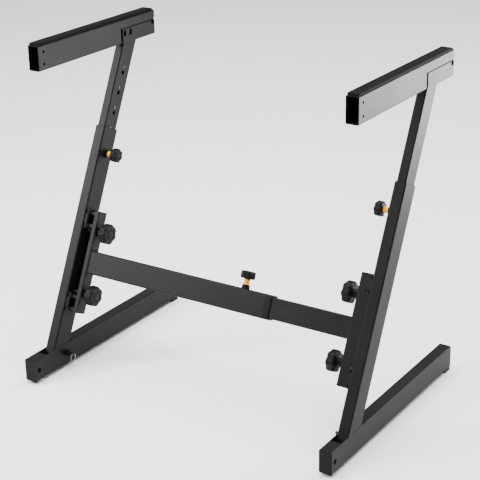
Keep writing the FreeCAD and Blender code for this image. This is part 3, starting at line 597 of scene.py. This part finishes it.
def trim(name, side, sign):
    """A thin near-black half-round strip up the head's front edge and back along its upper one, on both
    cheeks: painted shadow of the seam between the head and the arm.

    Its section is a flattened half circle, swept along the edges round a small corner, and drawn in at
    both ends."""
    low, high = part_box("arm_head_" + side)
    front, top = low.y + 0.0010, high.z - 0.0010
    path = filleted([(front, ARM_LOW + 0.0020), (front, top), (high.y - 0.0090, top)], [0.0030], 8)
    run = np.concatenate([[0.0], np.cumsum(np.linalg.norm(np.diff(path, axis=0), axis=1))])
    at = np.linspace(0.0, run[-1], 90)
    path = np.stack([np.interp(at, run, path[:, 0]), np.interp(at, run, path[:, 1])], -1)
    ahead = np.gradient(path, axis=0)
    ahead /= np.linalg.norm(ahead, axis=1)[:, None]
    wide = np.stack([-ahead[:, 1], ahead[:, 0]], -1)
    ends = np.clip(np.minimum(at, at[-1] - at) / 0.0015 + 0.15, 0, 1) ** 0.5
    turn = np.linspace(0, 2 * math.pi, 12, endpoint=False)
    half = 0.00095 * ends[:, None] * np.sin(turn)
    skins = []
    for outward in (1.0, -1.0):
        out = np.broadcast_to(outward * (CHEEK + 0.0001 + 0.00008 * (1 + np.cos(turn))), half.shape)
        points = np.stack([out, path[:, :1] + half * wide[:, :1], path[:, 1:] + half * wide[:, 1:]], -1)
        points = points + [sign * FRAME_X, 0.0, 0.0]
        skins.append(skin(points if outward < 0 else points[:, ::-1]))
    vertices, faces = joined(skins)
    # The near-black strip is painted shadow along the seam, in the matt finish.
    piece(name, vertices, faces, "matt_and_shadow", "mast_" + side, 60.0)


for side, sign in SIDES.items():
    trim("head_trim_" + side, side, sign)


# ---------------------------------------------------------------- collars on the hinge pins
def hinge_collars(side, sign, body):
    """A short turned collar on the pin, at the outer end of each of the bracket's four knuckles."""
    collar = filleted([(0.0001, 0.0), (0.0034, 0.0), (0.0034, 0.0026), (0.0026, 0.0028), (0.0001, 0.0028)],
                      [0.0004, 0.0004, 0.0003], 4)
    skins = []
    inset, depth, clear = 0.0163, 0.0065, 0.0001
    for up, way in ((0.091, -1.0), (0.1256, 1.0), (0.2754, -1.0), (0.310, 1.0)):
        place = leaned(sign * (FRAME_X - inset), depth, up + way * clear)
        skins.append(skin(stand_on(turned(collar, 28), place, way * UP, ACROSS)))
    vertices, faces = joined(skins)
    piece("hinge_collars_" + side, vertices, faces, "bolt", body)


for side, sign in SIDES.items():
    hinge_collars(side, sign, CARRIERS[side])


# ---------------------------------------------------------------- blind inserts in the arms' holes
def arm_inserts(side, sign):
    """A turned cup, closed at its inner end, in each of the two holes of both cheeks of the arm."""
    low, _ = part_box("arm_tube_" + side)
    cup = filleted([(0.0001, -0.0070), (0.00295, -0.0070), (0.00295, -0.0003), (0.0026, 0.0),
                    (0.0021, -0.0004), (0.0021, -0.0056), (0.0001, -0.0060)],
                   [0.0006, 0.0001, 0.0001, 0.0001, 0.0003], 4)
    skins = []
    inset = 0.0155
    for outward in (1.0, -1.0):
        for up in (0.0135, 0.0385):
            place = np.array([sign * FRAME_X + outward * CHEEK, low.y + inset, low.z + up])
            skins.append(skin(stand_on(turned(cup, 28), place, (outward, 0, 0), (0, 0, 1))))
    vertices, faces = joined(skins)
    piece("arm_inserts_" + side, vertices, faces, "matt_and_shadow", "arm_" + side)


for side, sign in SIDES.items():
    arm_inserts(side, sign)


# ---------------------------------------------------------------- welds
def bracket_weld(side, sign, body, width, height, corner):
    """The bead round the crossbar where it meets the bracket."""
    loop = rounded_loop(width, height, corner)
    middle = leaned(sign * (FRAME_X - BRACKET_BACK), MID_DEPTH, CROSSBAR_UP)
    bead("bracket_weld_" + side, middle + loop[:, :1] * BACK + loop[:, 1:] * UP, (1, 0, 0), 0.0017, body)


def head_weld(side, sign):
    """The bead round the inner upright where it meets the underside of the arm's head."""
    depth, front = 0.042, 0.003
    loop = rounded_loop(2 * MAST_HALF, depth / math.cos(LEAN), 0.0025)
    heel = leaned(sign * FRAME_X, front, 0.0)
    middle = heel + UP * (ARM_LOW - heel[2]) / UP[2] + np.array([0.0, depth / 2 / math.cos(LEAN), 0.0])
    path = middle + loop[:, :1] * ACROSS + loop[:, 1:] * np.array([0.0, 1.0, 0.0])
    bead("head_weld_" + side, path, (0, 0, 1), 0.0013, "mast_" + side)


TUBES = {"right": (0.020, 0.044, 0.0025), "left": (0.025, 0.050, 0.003)}
for side, sign in SIDES.items():
    bracket_weld(side, sign, CARRIERS[side], *TUBES[side])
    head_weld(side, sign)


# ---------------------------------------------------------------- height numbers
def figures(name, sign, body):
    """Plain numbers, 1 at the top, each printed above its hole on the tube's inner face."""
    above, proud = 0.0095, 0.00005
    outward = np.array([-sign, 0.0, 0.0])
    right = np.cross(UP, outward)
    skins = []
    for number in range(1, HOLE_COUNT + 1):
        curve = bpy.data.curves.new("figure", "FONT")
        curve.body = str(number)
        curve.size = 0.0075
        curve.align_x = "CENTER"
        curve.extrude = 0.00004
        curve.resolution_u = 3
        text = bpy.data.objects.new("figure", curve)
        bpy.context.scene.collection.objects.link(text)
        shape = bpy.data.meshes.new_from_object(text)
        hole = FIRST_HOLE_UP - (number - 1) * HOLE_PITCH
        spot = leaned(sign * (FRAME_X - MAST_HALF - proud), MID_DEPTH, hole + above)
        local = np.array([vertex.co for vertex in shape.vertices])
        placed = spot + local[:, :1] * right + local[:, 1:2] * UP + local[:, 2:] * outward
        skins.append((placed, [list(polygon.vertices) for polygon in shape.polygons]))
        bpy.data.objects.remove(text)
        bpy.data.meshes.remove(shape)
    vertices, faces = joined(skins)
    piece(name, vertices, faces, "print", body, 20.0)


for side, sign in SIDES.items():
    figures("height_numbers_" + side, sign, "mast_" + side)


# ---------------------------------------------------------------- floor, light and camera
def studio():
    """Pale floor, an even pale surround, and soft panels: a small one behind on the right, a large one above
    and one in front on the left."""
    floor_paint = Paint("pale_floor")
    tone = floor_paint.noise(3.0, 2.0)
    floor_paint.done(floor_paint.mix(tone, (0.92, 0.92, 0.92), (0.94, 0.94, 0.94)), 0.85)
    mesh = bpy.data.meshes.new("floor")
    mesh.from_pydata([(-12, -12, 0), (12, -12, 0), (12, 12, 0), (-12, 12, 0)], [], [(0, 1, 2, 3)])
    mesh.materials.append(floor_paint.material)
    floor = bpy.data.objects.new("floor", mesh)
    bpy.context.scene.collection.objects.link(floor)
    world = bpy.data.worlds.new("surround")
    world.use_nodes = True
    backdrop = world.node_tree.nodes["Background"]
    backdrop.inputs["Color"].default_value = (1.0, 1.0, 1.0, 1.0)
    backdrop.inputs["Strength"].default_value = 0.60
    bpy.context.scene.world = world
    for name, spot, aim, size, power, spread in (
            ("right_panel", (0.92, 1.10, 0.55), (0.37, 0.0, 0.60), 0.7, 7.6, 60.0),
            ("top_panel", (0.0, 0.0, 4.2), (0.0, 0.0, 0.0), 4.5, 560.0, 180.0),
            ("front_panel", (-1.9, -1.7, 1.45), (-0.40, 0.05, 0.55), 0.9, 20.0, 80.0)):
        light = bpy.data.lights.new(name, "AREA")
        light.size = size
        light.energy = power
        light.spread = math.radians(spread)
        lamp = bpy.data.objects.new(name, light)
        lamp.rotation_mode = "QUATERNION"
        lamp.location = spot
        lamp.rotation_quaternion = (Vector(aim) - Vector(spot)).to_track_quat("-Z", "Y")
        bpy.context.scene.collection.objects.link(lamp)


studio()

lens = bpy.data.cameras.new("camera")
lens.lens = 102.58
lens.sensor_width = 36.0
lens.shift_x = -0.0371
lens.shift_y = 0.0341
lens.clip_end = 50.0
camera = bpy.data.objects.new("camera", lens)
camera.location = (1.454, -2.1930, 1.3739)
camera.rotation_euler = [math.radians(turn) for turn in (67.4048, 0.6788, 32.3276)]
bpy.context.scene.collection.objects.link(camera)
bpy.context.scene.camera = camera
